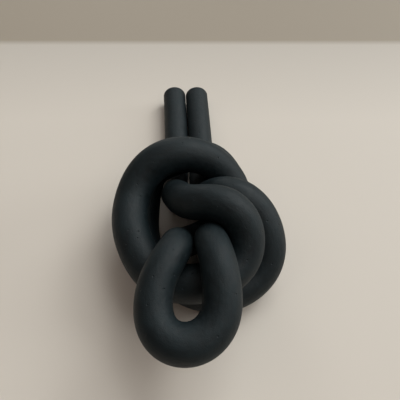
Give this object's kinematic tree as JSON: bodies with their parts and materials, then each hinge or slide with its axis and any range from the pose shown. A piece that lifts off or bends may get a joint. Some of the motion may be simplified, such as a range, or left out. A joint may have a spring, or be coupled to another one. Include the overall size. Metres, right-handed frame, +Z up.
{
  "type": "knot sculpture",
  "caption": "Matte black ceramic knot ornament: a thick round coil folded double and tied in an overhand knot, with straight tails at one end and a raised teardrop loop at the other.",
  "frame": {"origin": "on the table, under the middle of the knot's box", "axes": "+Z up from the table, +Y from the front loop towards the tails, +X to the right as seen from the front loop"},
  "size_m": [0.098, 0.2158, 0.0624],
  "materials": {
    "ceramic": "satin matte, unglazed black"
  },
  "bodies": {
    "root": {"left_tail": "ceramic", "left_tail_slip": "ceramic", "inner_right_arm": "ceramic", "inner_right_arm_slip": "ceramic", "upper_left_arc": "ceramic", "upper_left_arc_slip": "ceramic", "left_riser": "ceramic", "left_riser_slip": "ceramic", "front_loop": "ceramic", "front_loop_slip": "ceramic", "right_riser": "ceramic", "right_riser_slip": "ceramic", "lower_left_arc": "ceramic", "lower_left_arc_slip": "ceramic", "outer_right_arm": "ceramic", "outer_right_arm_slip": "ceramic", "right_tail": "ceramic"}
  },
  "joints": []
}
